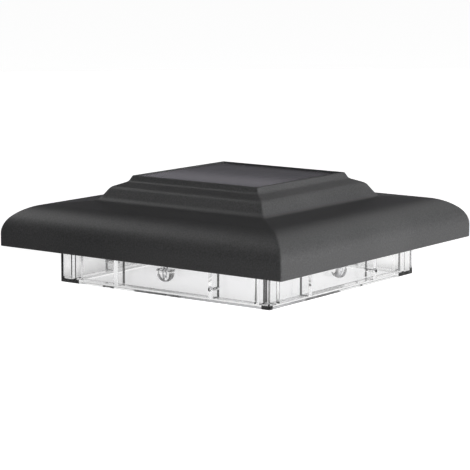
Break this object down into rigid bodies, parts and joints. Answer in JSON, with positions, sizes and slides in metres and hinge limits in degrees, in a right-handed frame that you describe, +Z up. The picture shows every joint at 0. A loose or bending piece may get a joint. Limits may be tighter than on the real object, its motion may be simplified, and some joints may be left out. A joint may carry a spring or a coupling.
{
  "type": "solar fence post light",
  "caption": "square solar light with a stepped dark metal cap, a solar panel in its flat top and a clear lens that slips over a fence post",
  "frame": {"origin": "centre of the lens's bottom edge, where the light stands", "axes": "+Z up out of the solar panel; +Y towards the circuit board's side; +X to the right seen from the side of the hinge"},
  "size_m": [0.2, 0.2, 0.0623],
  "materials": {
    "cap_paint": "dark grey powder coat with a fine texture",
    "panel_glass": "clear epoxy cover, slightly violet",
    "silicon": "dark blue-grey solar cells",
    "backing": "black panel board",
    "tinned": "tinned metal",
    "tape": "black foam tape",
    "clear_plastic": "clear moulded plastic",
    "led_epoxy": "clear epoxy bulb",
    "grey_plastic": "fine matt grey moulding",
    "screw_steel": "zinc-plated steel",
    "board_green": "green solder mask",
    "chip_black": "black epoxy package",
    "copper": "copper winding",
    "can_sleeve": "dark shrink sleeve",
    "cell_sleeve": "green shrink sleeve and bare steel ends",
    "nickel": "nickel-plated spring steel",
    "wire_red": "red insulation",
    "wire_black": "black insulation",
    "seal_rubber": "soft grey rubber",
    "switch_metal": "pressed metal shell",
    "knob_white": "white slider knob"
  },
  "bodies": {
    "housing": {"cap_shell": "cap_paint", "panel_tape": "tape", "panel_backing": "backing", "solar_cells": "silicon", "cell_ribbons": "tinned", "panel_cover": "panel_glass", "panel_wire_red": "wire_red", "panel_wire_black": "wire_black", "lens": "clear_plastic", "tray": "grey_plastic", "tray_screws": "screw_steel", "lens_screws": "screw_steel", "circuit_board": "board_green", "board_screws": "screw_steel", "driver_chip": "chip_black", "inductor": "copper", "capacitor": "can_sleeve", "board_resistors": "chip_black", "battery_cell_a": "cell_sleeve", "battery_cell_b": "cell_sleeve", "contact_bridge": "nickel", "contact_positive": "nickel", "contact_negative": "nickel", "contact_spring_a": "nickel", "contact_spring_b": "nickel", "battery_wire_red": "wire_red", "battery_wire_black": "wire_black", "hinge_pin": "screw_steel", "switch_body": "switch_metal", "led_bulb_front": "led_epoxy", "led_bulb_right": "led_epoxy", "led_bulb_back": "led_epoxy", "led_bulb_left": "led_epoxy", "led_leads_front": "tinned", "led_leads_right": "tinned", "led_leads_back": "tinned", "led_leads_left": "tinned", "lamp_board_front": "board_green", "lamp_board_right": "board_green", "lamp_board_back": "board_green", "lamp_board_left": "board_green", "led_wires_front": "wire_red", "led_wires_right": "wire_red", "led_wires_back": "wire_red", "led_wires_left": "wire_red"},
    "door": {"battery_door": "grey_plastic", "door_seal": "seal_rubber"},
    "slider": {"switch_slider": "knob_white"}
  },
  "joints": [
    {"name": "door_hinge", "type": "hinge", "parent": "housing", "child": "door", "pos_m": [0, -0.02085, 0.0251], "axis": [-1, 0, 0], "range_deg": [0, 110]},
    {"name": "switch_slide", "type": "slide", "parent": "housing", "child": "slider", "axis": [1, 0, 0], "range_m": [0, 0.0035]}
  ]
}
